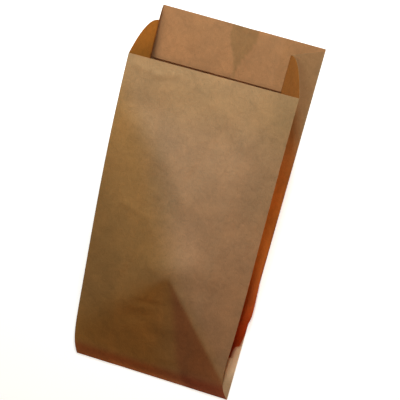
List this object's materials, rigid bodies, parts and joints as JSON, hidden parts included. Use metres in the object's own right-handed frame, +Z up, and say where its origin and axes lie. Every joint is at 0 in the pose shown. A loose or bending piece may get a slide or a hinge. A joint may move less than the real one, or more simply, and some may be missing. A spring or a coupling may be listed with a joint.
{
  "type": "paper bread bag",
  "caption": "Tall kraft paper bag for bread, lying on its back: gusseted sides, pinched bottom, open mouth with a longer back lip.",
  "frame": {"origin": "middle of the back panel's flat underside, which the bag lies on", "axes": "+Y along the bag from the pinched bottom to the open mouth, +X to the right seen from above, +Z up from the back panel through the front panel"},
  "size_m": [0.1588, 0.34, 0.0618],
  "materials": {
    "kraft_paper": "matt brown kraft paper"
  },
  "bodies": {
    "root": {"bread_bag": "kraft_paper"}
  },
  "joints": []
}
